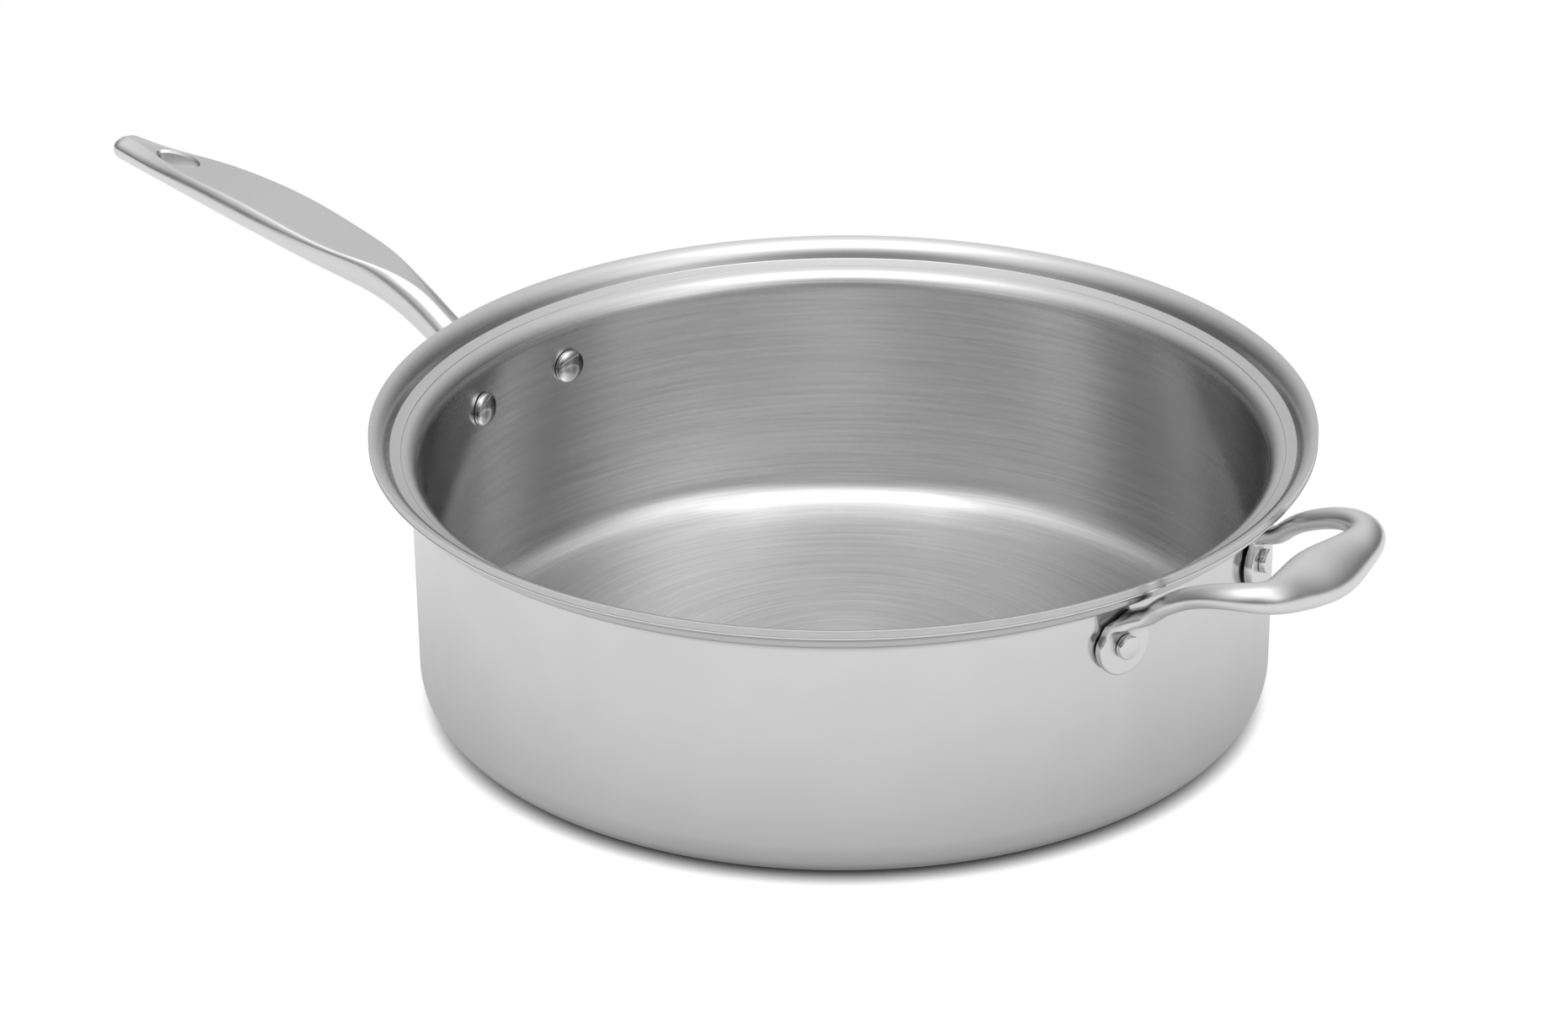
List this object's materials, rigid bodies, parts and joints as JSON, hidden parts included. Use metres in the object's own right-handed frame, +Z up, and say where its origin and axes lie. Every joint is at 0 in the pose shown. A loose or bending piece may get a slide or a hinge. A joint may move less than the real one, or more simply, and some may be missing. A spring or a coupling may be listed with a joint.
{
  "type": "saute pan",
  "caption": "Straight-sided clad saute pan with a flared lip and lid ledge, a long riveted handle with a hanging slot, and a riveted helper handle opposite.",
  "frame": {"origin": "middle of the flat underside, on the surface that the pan stands on", "axes": "+Z up along the pan's axis, -X along the long handle, +X towards the helper handle"},
  "size_m": [0.5213, 0.31, 0.1189],
  "materials": {
    "cooking_surface": "stainless steel, brushed in rings around the pan's axis",
    "core": "bare aluminium, seen only at the lip's cut edge",
    "outside": "stainless steel, polished with faint rings",
    "handle": "cast stainless steel, satin polished",
    "rivet": "stainless steel, polished"
  },
  "bodies": {
    "root": {"inner_steel_ply": "cooking_surface", "aluminium_core": "core", "outer_steel_ply": "outside", "long_handle": "handle", "long_handle_rivet_left": "rivet", "long_handle_rivet_right": "rivet", "helper_handle": "handle", "helper_rivet_left": "rivet", "helper_rivet_right": "rivet"}
  },
  "joints": []
}
